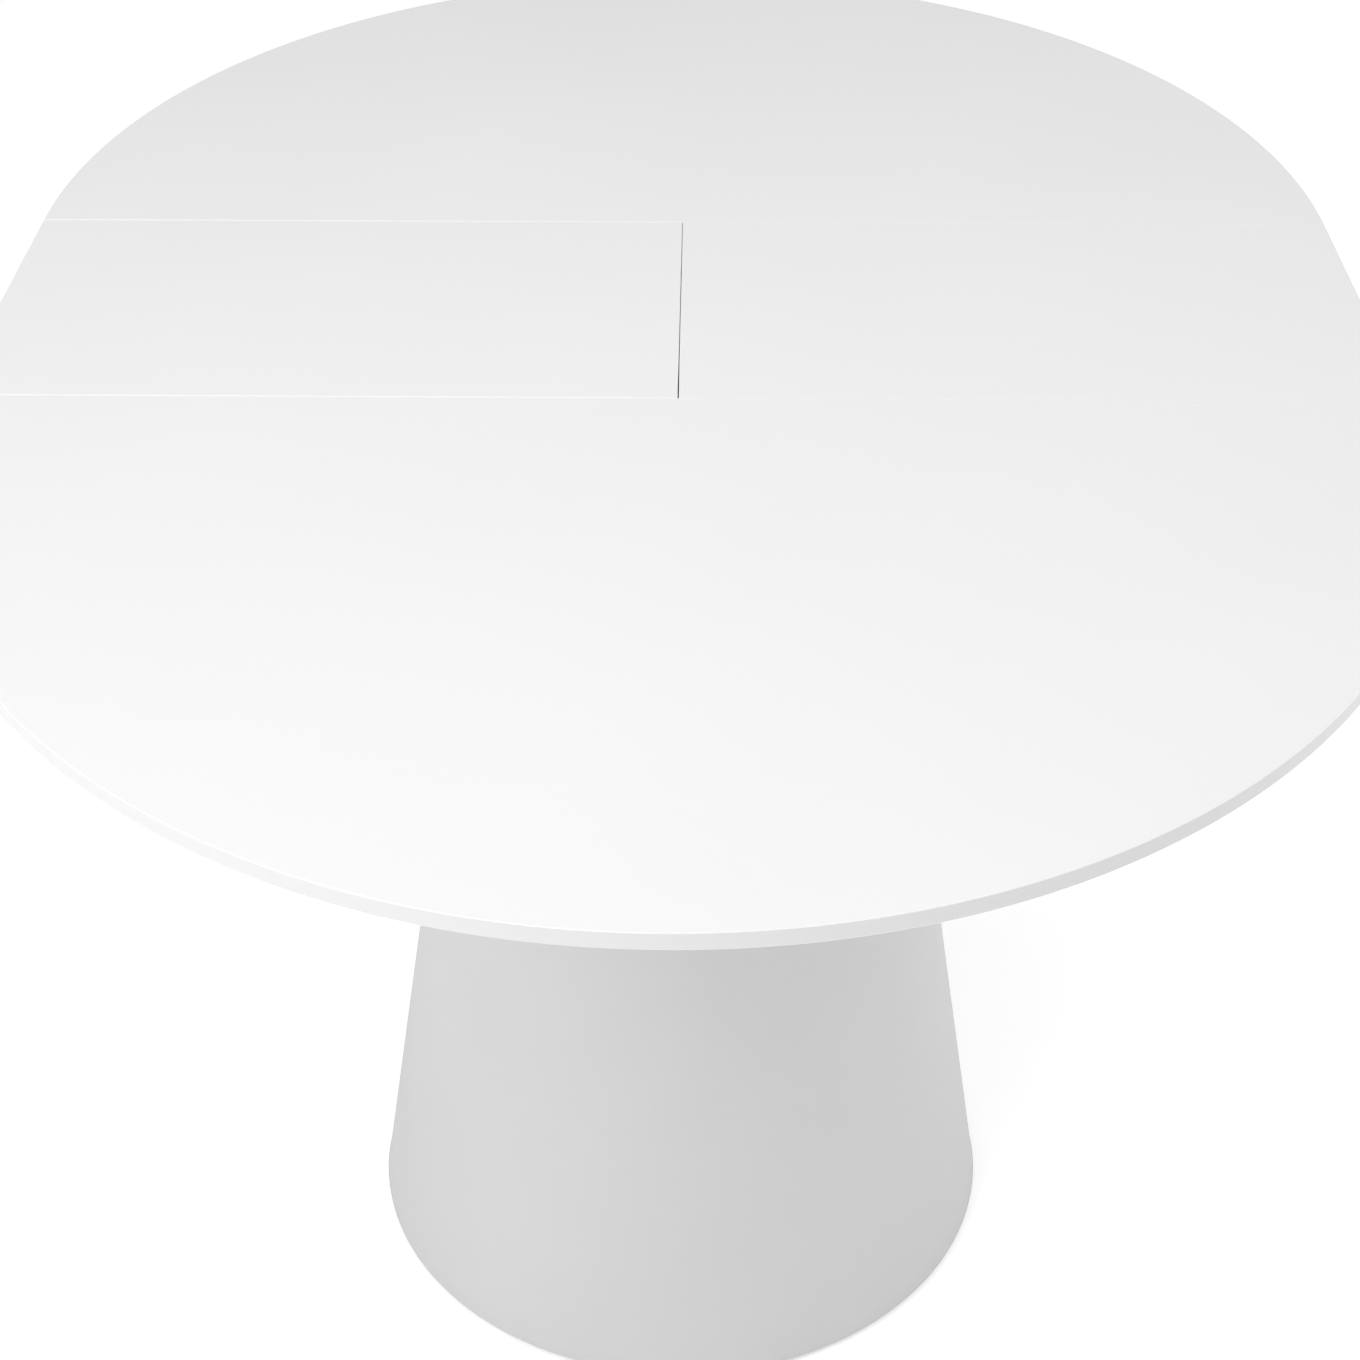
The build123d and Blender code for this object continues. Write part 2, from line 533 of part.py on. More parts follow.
def slider_parts():
    """Rear right slider with its glides and riser, then its screws."""
    y0 = SEAM_Y + SLIDER_OFFSET
    y1 = y0 + SLIDER_LENGTH
    bar_x, bar_z = SLIDER_BAR
    bar = block((RAIL_MID_X - bar_x / 2, RAIL_MID_X + bar_x / 2), (y0, y1),
                (RAIL_MID_Z - bar_z / 2, RAIL_MID_Z + bar_z / 2))
    neck = block((RAIL_MID_X + bar_x / 2, PLATE_X), (y0, y1),
                 (RAIL_MID_Z - SLIDER_NECK / 2, RAIL_MID_Z + SLIDER_NECK / 2))
    plate = block((PLATE_X, RISER_X), (y0, y1), (RAIL_BOTTOM + 2, RAIL_TOP))
    slider = bar + neck + plate
    inner_x = (RAIL_INNER_X + RAIL_WALL + RUNNING_GAP, RAIL_OUTER_X - RAIL_WALL - RUNNING_GAP)
    inner_z = (RAIL_BOTTOM + RAIL_WALL + RUNNING_GAP, RAIL_TOP - RAIL_WALL - RUNNING_GAP)
    glides = []
    for start in (y0 + GLIDE_INSET, RAIL_HALF_LENGTH - OVER_TRAVEL - GLIDE_BLOCK - 5):
        glide = block(inner_x, (start, start + GLIDE_BLOCK), inner_z)
        glides.append(glide - slider)
    riser_y = (SEAM_Y + RISER_OFFSET, SEAM_Y + RISER_OFFSET + RISER_LENGTH)
    web = block((RISER_X, RISER_X + RISER_SHEET), riser_y, (RAIL_BOTTOM + 4, UNDERSIDE))
    flange = block((RISER_X, RISER_X + RISER_FLANGE), riser_y, (UNDERSIDE - RISER_SHEET, UNDERSIDE))
    riser = web + flange
    side_screws, wood_screws = [], []
    for y in (riser_y[0] + 20, sum(riser_y) / 2, riser_y[1] - 20):
        side_screws.append(bolt((RISER_X + RISER_SHEET, y, RAIL_MID_Z), (RAIL_MID_X + bar_x / 2, y, RAIL_MID_Z),
                                2.5, 4.0, 3.0))
        wood_screws.append(wood_screw(RISER_X + RISER_SHEET + 14, y + 8, UNDERSIDE - RISER_SHEET))
    slider = cut(slider, side_screws)
    riser = cut(riser, side_screws + wood_screws)
    return slider, glides, riser, side_screws, wood_screws


def batten():
    """Stiffening batten under the rear half, and its screws."""
    length, depth, height = BATTEN
    y = SEAM_Y + BATTEN_OFFSET
    bar = block((-length / 2, length / 2), (y, y + depth), (UNDERSIDE - height, UNDERSIDE))
    long_low = [e for e in bar.edges().filter_by(Axis.X) if e.center().Z < UNDERSIDE - 1]
    bar = chamfer(long_low, 3)
    screws = [wood_screw(x, y + depth / 2, UNDERSIDE - height) for x in (-length / 3, 0, length / 3)]
    return cut(bar, screws), screws


def magnet_row(y_seam, toward):
    """Magnets set flush in an edge that faces along Y."""
    return [rod(MAGNET_RADIUS, (x, y_seam, UNDERSIDE + 9.5),
                (x, y_seam + toward * MAGNET_DEPTH, UNDERSIDE + 9.5))
            for x in (-MAGNET_X, MAGNET_X)]


def lock_parts():
    """Hook, pivot and keeper on the right-hand side, for the rear and front halves."""
    x, y = LOCK_X, LOCK_PIVOT_Y
    z0, z1 = LOCK_TOP - LOCK_SHEET, LOCK_TOP
    w = LOCK_WIDTH / 2
    # at rest the hook lies along X, pointing toward the table's middle
    body = block((x - LOCK_REACH - w, x), (y - w, y + w), (z0, z1))
    body += rod(w, (x, y, z0), (x, y, z1))
    slot_x = x - LOCK_REACH
    slot = rod(KEEPER_PIN + KEEPER_FIT, (slot_x, y, z0), (slot_x, y, z1))
    slot += block((slot_x - KEEPER_PIN - KEEPER_FIT, slot_x + KEEPER_PIN + KEEPER_FIT), (y - w, y), (z0, z1))
    hook = body - slot - rod(M6 + BORE_FIT, (x, y, z0), (x, y, z1))
    tab = block((slot_x + 14, slot_x + 20), (y - w, y + w), (z0 - 8, z0))
    hook += tab
    pivot = rod(M6, (x, y, z0 - 0.5), (x, y, UNDERSIDE + WOOD_SCREW_BITE))
    pivot += rod(M6_HEAD, (x, y, z0 - 3), (x, y, z0 - 0.3))
    pivot += rod(M6_HEAD, (x, y, z1 + 0.3), (x, y, UNDERSIDE))
    ky = KEEPER_Y
    plate_x, plate_y, plate_z = KEEPER_PLATE
    keeper = block((x - plate_x / 2 - 2, x + plate_x / 2 - 2), (ky - plate_y / 2, ky + plate_y / 2),
                   (UNDERSIDE - plate_z, UNDERSIDE))
    keeper += rod(KEEPER_PIN, (x, ky, z0 - 2), (x, ky, UNDERSIDE - plate_z))
    screws = [wood_screw(x - 6, ky + dy, UNDERSIDE - plate_z) for dy in (-8, 8)]
    return hook, pivot, cut(keeper, screws), screws


def top_halves(rack_screws_rear, rack_screws_front, rack_bolt_rear, rack_bolt_front):
    board = half_board()
    slider, glides, riser, side_screws, wood_screws = slider_parts()
    bar, bar_screws = batten()
    hook, pivot, keeper, keeper_screws = lock_parts()
    magnets = magnet_row(SEAM_Y, 1)

    rear_screws = wood_screws + [mirrored_x(s) for s in wood_screws] + bar_screws + rack_screws_rear
    pivots = [pivot, mirrored_x(pivot)]
    keep("top_half_rear", cut(board, rear_screws + pivots + magnets))
    keep("slider_rear_right", slider)
    keep("slider_rear_left", mirrored_x(slider))
    keep("slider_glides_rear", group(glides + [mirrored_x(g) for g in glides]))
    keep("risers_rear", group([riser, mirrored_x(riser)]))
    keep("slide_bolts_rear", group(side_screws + [mirrored_x(s) for s in side_screws] + [rack_bolt_rear]))
    keep("batten_rear", bar)
    keep("underside_screws_rear", group(rear_screws))
    keep("lock_pivots", group(pivots))
    keep("edge_magnets_rear", group(magnets))
    keep("lock_hook_right", hook)
    keep("lock_hook_left", mirrored_x(hook))

    front_wood = [mirrored_y(s) for s in wood_screws]
    front_screws = front_wood + [mirrored_x(s) for s in front_wood] + [mirrored_y(s) for s in bar_screws]
    front_screws += rack_screws_front + keeper_screws + [mirrored_x(s) for s in keeper_screws]
    front_magnets = [mirrored_y(m) for m in magnets]
    keep("top_half_front", cut(mirrored_y(board), front_screws + front_magnets))
    keep("slider_front_right", mirrored_y(slider))
    keep("slider_front_left", half_turn(slider))
    front_glides = [mirrored_y(g) for g in glides]
    keep("slider_glides_front", group(front_glides + [mirrored_x(g) for g in front_glides]))
    keep("risers_front", group([mirrored_y(riser), half_turn(riser)]))
    front_bolts = [mirrored_y(s) for s in side_screws] + [half_turn(s) for s in side_screws]
    keep("slide_bolts_front", group(front_bolts + [rack_bolt_front]))
    keep("batten_front", mirrored_y(bar))
    keep("underside_screws_front", group(front_screws))
    keep("keepers", group([keeper, mirrored_x(keeper)]))
    keep("edge_magnets_front", group(front_magnets))


# ---- Leaf ----------------------------------------------------------------------------------

def leaf_board():
    """The right leaf half."""
    x0, x1 = LEAF_GAP / 2, TOP_WIDTH / 2
    drop = TOP_THICKNESS - EDGE_BAND
    outline = [(x0, UNDERSIDE), (x1 - UNDERCUT_RUN, UNDERSIDE), (x1, UNDERSIDE + drop),
               (x1, SURFACE), (x0, SURFACE)]
    board = along_y(outline, -LEAF_HALF_DEPTH, LEAF_HALF_DEPTH)
    top_edges = board.edges().group_by(Axis.Z)[-1]
    board = fillet(top_edges.sort_by(Axis.X)[-1], RIM_ROUND)
    return cut(board, [bevel_cut_x(-LEAF_HALF_DEPTH, 1), bevel_cut_x(LEAF_HALF_DEPTH, -1),
                       bevel_cut_y(LEAF_GAP / 2, 1)])


def leaf():
    board = leaf_board()
    z = UNDERSIDE + TOP_THICKNESS / 2
    barrels = []
    for y in HINGE_Y:
        start = LEAF_GAP / 2 + BARREL_RECESS
        barrel = rod(BARREL_RADIUS, (start, y, z), (start + BARREL_LENGTH, y, z))
        across, tall, deep = BARREL_SLOT
        slot = block((start, start + deep), (y - across / 2, y + across / 2), (z - tall / 2, z + tall / 2))
        barrels.append((barrel, slot, rod(BARREL_RADIUS, (LEAF_GAP / 2, y, z), (start + BARREL_LENGTH, y, z))))
    magnets = magnet_row(LEAF_HALF_DEPTH, -1) + magnet_row(-LEAF_HALF_DEPTH, 1)
    right_magnets = [m for m in magnets if m.center().X > 0]
    left_magnets = [m for m in magnets if m.center().X < 0]
    pockets = [pocket for _, _, pocket in barrels]
    keep("leaf_right", cut(board, pockets + right_magnets))
    keep("hinge_barrels_right", group([barrel - slot for barrel, slot, _ in barrels]))
    keep("leaf_magnets_right", group(right_magnets))

    x0, x1 = CARRIER_X
    web_y = (CARRIER_Y, CARRIER_Y + CARRIER_SHEET)
    web = block((x0, x1), web_y, (UNDERSIDE - CARRIER_HEIGHT, UNDERSIDE))
    flange = block((x0, x1), (web_y[1] - CARRIER_FLANGE, web_y[1]), (UNDERSIDE - CARRIER_SHEET, UNDERSIDE))
    carrier = web + flange
    screw_y = web_y[1] - CARRIER_FLANGE + 10
    screws = [wood_screw(x, screw_y, UNDERSIDE - CARRIER_SHEET) for x in (-310, -200, -90, -25)]
    eye_left, eye_right = -PIVOT_X - EYE_SHIFT, PIVOT_X - EYE_SHIFT
    closed_eye = rod(EYE_PIN, (eye_left, CARRIER_Y, EYE_Z), (eye_left, SEAM_Y, EYE_Z))
    open_eye = rod(EYE_PIN + OPEN_EYE_GAP, (eye_right, 0, EYE_Z), (eye_right, SEAM_Y, EYE_Z))
    eye_bore = rod(EYE_PIN + PIVOT_FIT, (eye_left, 0, EYE_Z), (eye_left, SEAM_Y, EYE_Z))
    carrier = cut(carrier, screws + [eye_bore, open_eye])
    both = screws + [mirrored_y(s) for s in screws]
    keep("leaf_left", cut(mirrored_x(board), [mirrored_x(p) for p in pockets] + left_magnets + both))
    keep("hinge_barrels_left", group([mirrored_x(barrel - slot) for barrel, slot, _ in barrels]))
    keep("leaf_magnets_left", group(left_magnets))
    keep("carrier_rear", carrier)
    keep("carrier_front", mirrored_y(carrier))
    keep("carrier_screws", group(both))

    for side, word in ((-1, "left"), (1, "right")):
        px = side * PIVOT_X
        ex = px - EYE_SHIFT
        y0, y1 = ARM_Y, ARM_Y + ARM_SHEET
        lean = Plane(origin=((px + ex) / 2, y0, (PIVOT_Z + EYE_Z) / 2), x_dir=(ex - px, 0, EYE_Z - PIVOT_Z),
                     z_dir=(0, 1, 0))
        arm = extrude(lean * SlotCenterToCenter(ARM_LENGTH, ARM_WIDTH), ARM_SHEET)
        arm += rod(SHAFT + 2.5, (px, y1, PIVOT_Z), (px, BEAM_INNER_Y - BUSH_FLANGE - RUNNING_GAP, PIVOT_Z))
        shaft_end = BEAM_INNER_Y + BEAM_WALL + 5
        shaft = rod(SHAFT, (px, y0, PIVOT_Z), (px, shaft_end, PIVOT_Z))
        eye = rod(EYE_PIN, (ex, CARRIER_Y - 3.5, EYE_Z), (ex, y1, EYE_Z))
        ring = rod(EYE_PIN + 2, (ex, CARRIER_Y - 2.5, EYE_Z), (ex, CARRIER_Y - RUNNING_GAP, EYE_Z)) - eye
        spacer = rod(EYE_PIN + 2, (ex, CARRIER_Y + CARRIER_SHEET + RUNNING_GAP, EYE_Z), (ex, y0, EYE_Z)) - eye
        arm = arm - shaft - eye
        keep(f"lift_arms_{word}", group([arm, mirrored_y(arm)]))
        pins = [shaft, eye, ring, spacer]
        keep(f"arm_pins_{word}", group([Compound(children=[p]) for p in pins] + [mirrored_y(p) for p in pins]))


def main():
    beam_bolts = pedestal()
    under_frame(beam_bolts)
    top_halves(*gears())
    leaf()
    os.makedirs("parts", exist_ok=True)
    for name, shape in PARTS.items():
        export_step(shape, f"parts/{name}.step")
        print(name, len(shape.solids()), round(shape.volume, 1))


main()
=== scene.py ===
"""Extending oval pedestal table: looks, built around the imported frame. Metres, +Z up."""

import json
from math import cos, pi, radians, sin, sqrt

import bpy
import bmesh
from mathutils import Matrix, Vector


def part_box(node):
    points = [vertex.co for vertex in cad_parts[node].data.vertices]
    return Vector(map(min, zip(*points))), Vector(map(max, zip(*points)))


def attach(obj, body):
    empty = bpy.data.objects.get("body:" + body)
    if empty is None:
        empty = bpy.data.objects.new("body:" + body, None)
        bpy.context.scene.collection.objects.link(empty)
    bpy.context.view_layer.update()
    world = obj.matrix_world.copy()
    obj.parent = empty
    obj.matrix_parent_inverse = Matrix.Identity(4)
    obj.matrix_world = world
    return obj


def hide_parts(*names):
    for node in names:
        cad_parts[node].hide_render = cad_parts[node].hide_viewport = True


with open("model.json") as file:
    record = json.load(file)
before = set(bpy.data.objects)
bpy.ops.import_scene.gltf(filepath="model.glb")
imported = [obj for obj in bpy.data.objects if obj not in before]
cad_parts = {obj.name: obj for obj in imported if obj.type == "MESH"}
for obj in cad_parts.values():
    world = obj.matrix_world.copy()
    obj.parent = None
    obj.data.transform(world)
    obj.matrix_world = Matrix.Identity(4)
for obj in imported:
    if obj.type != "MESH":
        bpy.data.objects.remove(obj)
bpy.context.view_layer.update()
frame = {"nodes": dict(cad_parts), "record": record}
scene = bpy.context.scene
scene.view_settings.view_transform = "Standard"
scene.view_settings.look = "None"

MM = 0.001

# Places read from the frame
half_low, half_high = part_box("top_half_rear")
leaf_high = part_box("leaf_right")[1]
shell_low, shell_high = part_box("base_shell")
SURFACE = half_high.z
SEAM_Y = half_low.y
HALF_WIDTH = half_high.x
HALF_LENGTH = half_high.y - half_low.y
LEAF_END = leaf_high.x
THICKNESS = SURFACE - half_low.z

# Rim of the top: an upright band with a small round above and below it, then an undercut
RIM_ROUND = 0.5 * MM
RIM_FOOT_ROUND = 1.2 * MM
BAND = 10 * MM
UNDERCUT_RUN = 30 * MM
SEAM_FOOT_ROUND = 0.6 * MM

# Seams. Rounds of the seam edges, in mm, at the table's left end, middle and right
SEAM_ROUND_LEFT, SEAM_ROUND_MIDDLE, SEAM_ROUND_RIGHT = 1.3, 0.6, 0.15
SEAM_LEFT_SHARE = 0.85        # share of the half width at which the left round is reached
SEAM_RIGHT_RUN = 6 * MM       # run over which the right round is reached
SEAM_CONTACT = 0.04 * MM      # gap between the leaf and each half

# Slit between the leaf's boards, as half widths in mm
SLIT_REAR = 0.13
SLIT_SPREAD = 0.09            # added evenly from rear to front
SLIT_FRONT_END = 0.13         # added at the front end
SLIT_FRONT_START, SLIT_FRONT_RUN = -80 * MM, 35 * MM
SLIT_MARK = 0.10              # a short widening
SLIT_MARK_Y, SLIT_MARK_RUN = 50 * MM, 9 * MM
FOLD_ROUND_RIGHT, FOLD_ROUND_LEFT = 0.3 * MM, 0.6 * MM

# Pedestal shell
SHELL_WALL = 5 * MM
SHELL_FOOT_ROUND = 3 * MM
SHELL_LIP_ROUND = 1.5 * MM
SHELL_LIP_WIDTH = 12 * MM

# Painted shade: below this depth, on edges, seams and undersides, the lacquer's colour is
# darkened to stand in for the shade these faces take
EDGE_PAINTED_SHADE, PAINTED_SHADE_DEPTH, PAINTED_SHADE_BLEND = 0.84, 0.5 * MM, 0.3 * MM

# Parts of the noise's range over which a finish's colour and gloss go from low to high
COLOUR_DRIFT = (0.35, 0.65)
GLOSS_DRIFT = (0.3, 0.7)
GLOSS_SCALE = 1.7             # scale of the gloss noise, to the colour noise's
LACQUER_DRIFT = 0.985         # darkest colour of the lacquer, to its lightest

SMOOTH_ANGLE, HARDWARE_SMOOTH_ANGLE = radians(35), radians(30)


# ---- Materials -----------------------------------------------------------------------------

class Nodes:
    """A material's node tree with short ways to add and link nodes."""

    def __init__(self, name):
        self.material = bpy.data.materials.new(name)
        self.material.use_nodes = True
        self.tree = self.material.node_tree
        self.shader = self.tree.nodes["Principled BSDF"]
        self.coordinates = self.add("ShaderNodeTexCoord").outputs["Object"]

    def add(self, kind, **settings):
        node = self.tree.nodes.new(kind)
        for name, value in settings.items():
            setattr(node, name, value)
        return node

    def link(self, start, end):
        self.tree.links.new(start, end)

    def set(self, **values):
        for name, value in values.items():
            self.shader.inputs[name.replace("_", " ")].default_value = value

    def noise(self, scale, detail=2.0, stretch=None):
        """Noise at a scale in features per metre, stretched along an axis if asked."""
        node = self.add("ShaderNodeTexNoise")
        node.inputs["Scale"].default_value = scale
        node.inputs["Detail"].default_value = detail
        source = self.coordinates
        if stretch:
            mapping = self.add("ShaderNodeMapping")
            mapping.inputs["Scale"].default_value = stretch
            self.link(source, mapping.inputs["Vector"])
            source = mapping.outputs["Vector"]
        self.link(source, node.inputs["Vector"])
        return node.outputs["Fac"]

    def ramp(self, factor, low, high):
        """A colour that runs from low to high as factor rises."""
        node = self.add("ShaderNodeValToRGB")
        first, last = node.color_ramp.elements
        first.position, last.position = COLOUR_DRIFT
        first.color, last.color = (*low, 1), (*high, 1)
        self.link(factor, node.inputs["Fac"])
        return node.outputs["Color"]

    def map_range(self, value, start, end, low, high):
        """A number that runs from low to high as value goes from start to end."""
        node = self.add("ShaderNodeMapRange")
        node.inputs["From Min"].default_value = start
        node.inputs["From Max"].default_value = end
        node.inputs["To Min"].default_value = low
        node.inputs["To Max"].default_value = high
        self.link(value, node.inputs["Value"])
        return node.outputs["Result"]

    def bump(self, height, distance):
        node = self.add("ShaderNodeBump")
        node.inputs["Distance"].default_value = distance
        self.link(height, node.inputs["Height"])
        self.link(node.outputs["Normal"], self.shader.inputs["Normal"])


def grey(value):
    return (value, value, value)


def varied(name, low, high, rough, scale, bump_scale, bump_depth, metallic=0.0,
           stretch=None, detail=3.0):
    """A finish whose colour and gloss drift slightly, with a fine relief.

    low and high are the colour's range and rough is the roughness's. scale and bump_scale
    are in features per metre and bump_depth is in metres.
    """
    nodes = Nodes(name)
    colour = nodes.noise(scale, detail, stretch)
    nodes.link(nodes.ramp(colour, low, high), nodes.shader.inputs["Base Color"])
    gloss = nodes.noise(scale * GLOSS_SCALE, 2.0, stretch)
    nodes.link(nodes.map_range(gloss, *GLOSS_DRIFT, *rough), nodes.shader.inputs["Roughness"])
    nodes.bump(nodes.noise(bump_scale, 2.0, stretch), bump_depth)
    nodes.set(Metallic=metallic)
    return nodes


def lacquer(name, tone, rough):
    """Sprayed white lacquer with a fine orange peel, with painted shade darkening its colour
    on edges and undersides.
    """
    low = tuple(c * LACQUER_DRIFT for c in tone)
    nodes = varied(name, low, tone, rough, scale=3.0, bump_scale=520.0, bump_depth=0.000012)
    place = nodes.add("ShaderNodeSeparateXYZ")
    nodes.link(nodes.coordinates, place.inputs["Vector"])
    # Painted shade: the colour is darkened below a set depth under the surface, on edges,
    # seams and undersides
    edge = SURFACE - PAINTED_SHADE_DEPTH
    painted_shade = nodes.map_range(place.outputs["Z"], edge - PAINTED_SHADE_BLEND,
                            edge + PAINTED_SHADE_BLEND, EDGE_PAINTED_SHADE, 1.0)
    shaded_colour = nodes.add("ShaderNodeVectorMath", operation="SCALE")
    base = nodes.shader.inputs["Base Color"]
    nodes.link(base.links[0].from_socket, shaded_colour.inputs["Vector"])
    nodes.link(painted_shade, shaded_colour.inputs["Scale"])
    nodes.link(shaded_colour.outputs["Vector"], base)
    return nodes.material


# Arguments of varied(), by material slot
FINISHES = {
    # Painted shade, in part: the white shell's colour is a grey well below the top's white,
    # standing in for the shade it sits in under the top
    "white_shell": (
        grey(0.585), grey(0.603), (0.52, 0.60), 4.0, 900.0, 0.00003),
    "black_powder_coat": (
        (0.018, 0.018, 0.02), (0.028, 0.028, 0.03), (0.45, 0.6), 60.0, 1400.0, 0.00008),
    "raw_aluminium": (
        (0.58, 0.59, 0.61), (0.68, 0.69, 0.71), (0.28, 0.42), 40.0, 300.0, 0.00003,
        1.0, (12.0, 0.35, 12.0)),
    "zinc_steel": (
        (0.50, 0.51, 0.53), (0.66, 0.67, 0.69), (0.22, 0.4), 260.0, 900.0, 0.00002, 1.0),
    "nylon_white": (
        (0.74, 0.72, 0.67), (0.80, 0.78, 0.73), (0.4, 0.55), 90.0, 700.0, 0.00002),
    "acetal_black": (
        (0.012, 0.012, 0.013), (0.02, 0.02, 0.022), (0.35, 0.5), 90.0, 700.0, 0.00002),
    "brass_hinge": (
        (0.55, 0.40, 0.17), (0.66, 0.50, 0.24), (0.3, 0.45), 300.0, 900.0, 0.00002, 1.0),
    "rubber_buffer": (
        grey(0.014), grey(0.022), (0.7, 0.85), 120.0, 900.0, 0.00005),
    "cast_ballast": (
        (0.03, 0.03, 0.032), (0.05, 0.05, 0.052), (0.6, 0.8), 30.0, 260.0, 0.0004),
    "beech_batten": (
        (0.42, 0.27, 0.15), (0.56, 0.39, 0.24), (0.45, 0.6), 18.0, 160.0, 0.0001,
        0.0, (0.35, 6.0, 6.0), 6.0),
    "magnet_nickel": (
        (0.60, 0.58, 0.53), (0.68, 0.66, 0.61), (0.18, 0.28), 200.0, 900.0, 0.00001, 1.0),
}

materials = {"white_lacquer": lacquer("white_lacquer", (0.802, 0.802, 0.799), (0.34, 0.42))}
for slot_name, finish in FINISHES.items():
    materials[slot_name] = varied(slot_name, *finish).material


# ---- Mesh helpers --------------------------------------------------------------------------

def piece(name, verts, faces, body, slot):
    """A named mesh piece that rides on a body and takes a material slot's finish."""
    mesh = bpy.data.meshes.new(name)
    mesh.from_pydata(verts, [], faces)
    mesh.validate()
    made = bmesh.new()
    made.from_mesh(mesh)
    bmesh.ops.remove_doubles(made, verts=made.verts, dist=1e-7)
    bmesh.ops.recalc_face_normals(made, faces=made.faces)
    made.to_mesh(mesh)
    made.free()
    mesh.materials.append(materials[slot])
    mesh.shade_smooth()
    mesh.set_sharp_from_angle(angle=SMOOTH_ANGLE)
    obj = bpy.data.objects.new(name, mesh)
    scene.collection.objects.link(obj)
    weighted = obj.modifiers.new("even_shading", "WEIGHTED_NORMAL")
    weighted.keep_sharp = True
    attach(obj, body)
    return obj


def stacked(loops):
    """Faces that join equal-length closed loops one under another, and close both ends."""
    count = len(loops[0])
    verts = [point for loop in loops for point in loop]
    bottom = range(len(verts) - count, len(verts))
    faces = [tuple(range(count)), tuple(reversed(bottom))]
    for k in range(len(loops) - 1):
        for i in range(count):
            a, b = k * count + i, k * count + (i + 1) % count
            faces.append((a, b, b + count, a + count))
    return verts, faces


def depths():
    """Depths of a board's outlines below the surface, close together at its edges."""
    near_top = [0, 0.02, 0.06, 0.12, 0.2, 0.32, 0.48, 0.68, 0.92, 1.2, 1.55, 2.1]
    band = [4.5, 7.0, 8.8, 9.2, 9.6, 9.9, 10.15, 10.5]
    under = [12.0, 14.0, 16.0, 18.0, 19.2, 19.6, 19.85, 20.0]
    return [d * MM for d in near_top + band + under]


def quarter_inset(depth, radius):
    """How far a rounded top edge stands back at a depth below the top."""
    if depth >= radius:
        return 0.0
    return radius - sqrt(max(0.0, radius * radius - (radius - depth) ** 2))


def rim_inset(depth):
    """How far the rim stands back at a depth below the surface."""
    slope = UNDERCUT_RUN / (THICKNESS - BAND)
    blend = RIM_FOOT_ROUND
    if depth < BAND - blend:
        return quarter_inset(depth, RIM_ROUND)
    if depth >= BAND + blend:
        return max(0.0, depth - BAND) * slope
    share = min(1.0, (depth - (BAND - blend)) / (2 * blend))
    return share * share * blend * 0.5 * slope


def seam_inset(depth, radius):
    """How far a seam face stands back: a round at the top and a small one at the bottom."""
    low = quarter_inset(THICKNESS - depth, SEAM_FOOT_ROUND)
    return quarter_inset(depth, radius) + low


def clamped(share):
    return min(1.0, max(0.0, share))


def seam_round(x):
    """The seams are eased most at the table's left end and hardly at all on its right."""
    if x < 0:
        share = min(1.0, -x / (SEAM_LEFT_SHARE * HALF_WIDTH))
        end = SEAM_ROUND_LEFT
    else:
        share = min(1.0, x / SEAM_RIGHT_RUN)
        end = SEAM_ROUND_RIGHT
    return (SEAM_ROUND_MIDDLE + (end - SEAM_ROUND_MIDDLE) * share) * MM


def slit_half(y):
    """Half the slit between the leaf's boards: tight at the rear, open at the front end."""
    share = clamped((SEAM_Y - y) / (2 * SEAM_Y))
    front = clamped((SLIT_FRONT_START - y) / SLIT_FRONT_RUN)
    mark = max(0.0, 1.0 - abs(y - SLIT_MARK_Y) / SLIT_MARK_RUN)
    wide = SLIT_REAR + SLIT_SPREAD * share + SLIT_FRONT_END * front + SLIT_MARK * mark
    return wide * MM


def half_board(name, node, body, side):
    """One top half. side is +1 for the rear half and -1 for the front half."""
    arc_steps, seam_steps = 220, 90
    loops = []
    for depth in depths():
        inset = rim_inset(depth)
        loop = []
        for k in range(1, arc_steps):
            t = pi * k / arc_steps
            x, y = HALF_WIDTH * cos(t), HALF_LENGTH * sin(t)
            nx, ny = cos(t) / HALF_WIDTH, sin(t) / HALF_LENGTH
            scale = inset / sqrt(nx * nx + ny * ny)
            loop.append((x - nx * scale, y - ny * scale))
        reach = HALF_WIDTH - inset
        for k in range(seam_steps + 1):
            x = -reach + 2 * reach * k / seam_steps
            loop.append((x, seam_inset(depth, seam_round(x))))
        z = SURFACE - depth
        loops.append([(x, side * (SEAM_Y + y), z) for x, y in loop])
    verts, faces = stacked(loops)
    obj = piece(name, verts, faces, body, "white_lacquer")
    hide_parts(node)


def leaf_board(name, node, body, side):
    """One leaf board. side is +1 for the right one and -1 for the left one."""
    steps = 60
    half_depth = SEAM_Y - SEAM_CONTACT
    fold_round = FOLD_ROUND_RIGHT if side > 0 else FOLD_ROUND_LEFT
    shares = [k / steps for k in range(steps)]
    loops = []
    for depth in depths():
        far = LEAF_END - rim_inset(depth)
        fold_face = seam_inset(depth, fold_round)

        def edge(x):
            """Half the board's depth at a distance from the fold."""
            return half_depth - seam_inset(depth, seam_round(side * x))

        def near(y):
            """The fold face's distance from the fold's axis."""
            return fold_face + slit_half(y)

        front, rear, end = near(-half_depth), near(half_depth), edge(far)
        inner = edge(near(0))
        loop = [(x, -edge(x)) for x in (front + (far - front) * s for s in shares)]
        loop += [(far, -end + 2 * end * s) for s in shares]
        loop += [(x, edge(x)) for x in (far - (far - rear) * s for s in shares)]
        loop += [(near(y), y) for y in (inner - 2 * inner * s for s in shares)]
        loops.append([(side * x, y, SURFACE - depth) for x, y in loop])
    verts, faces = stacked(loops)
    obj = piece(name, verts, faces, body, "white_lacquer")
    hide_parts(node)


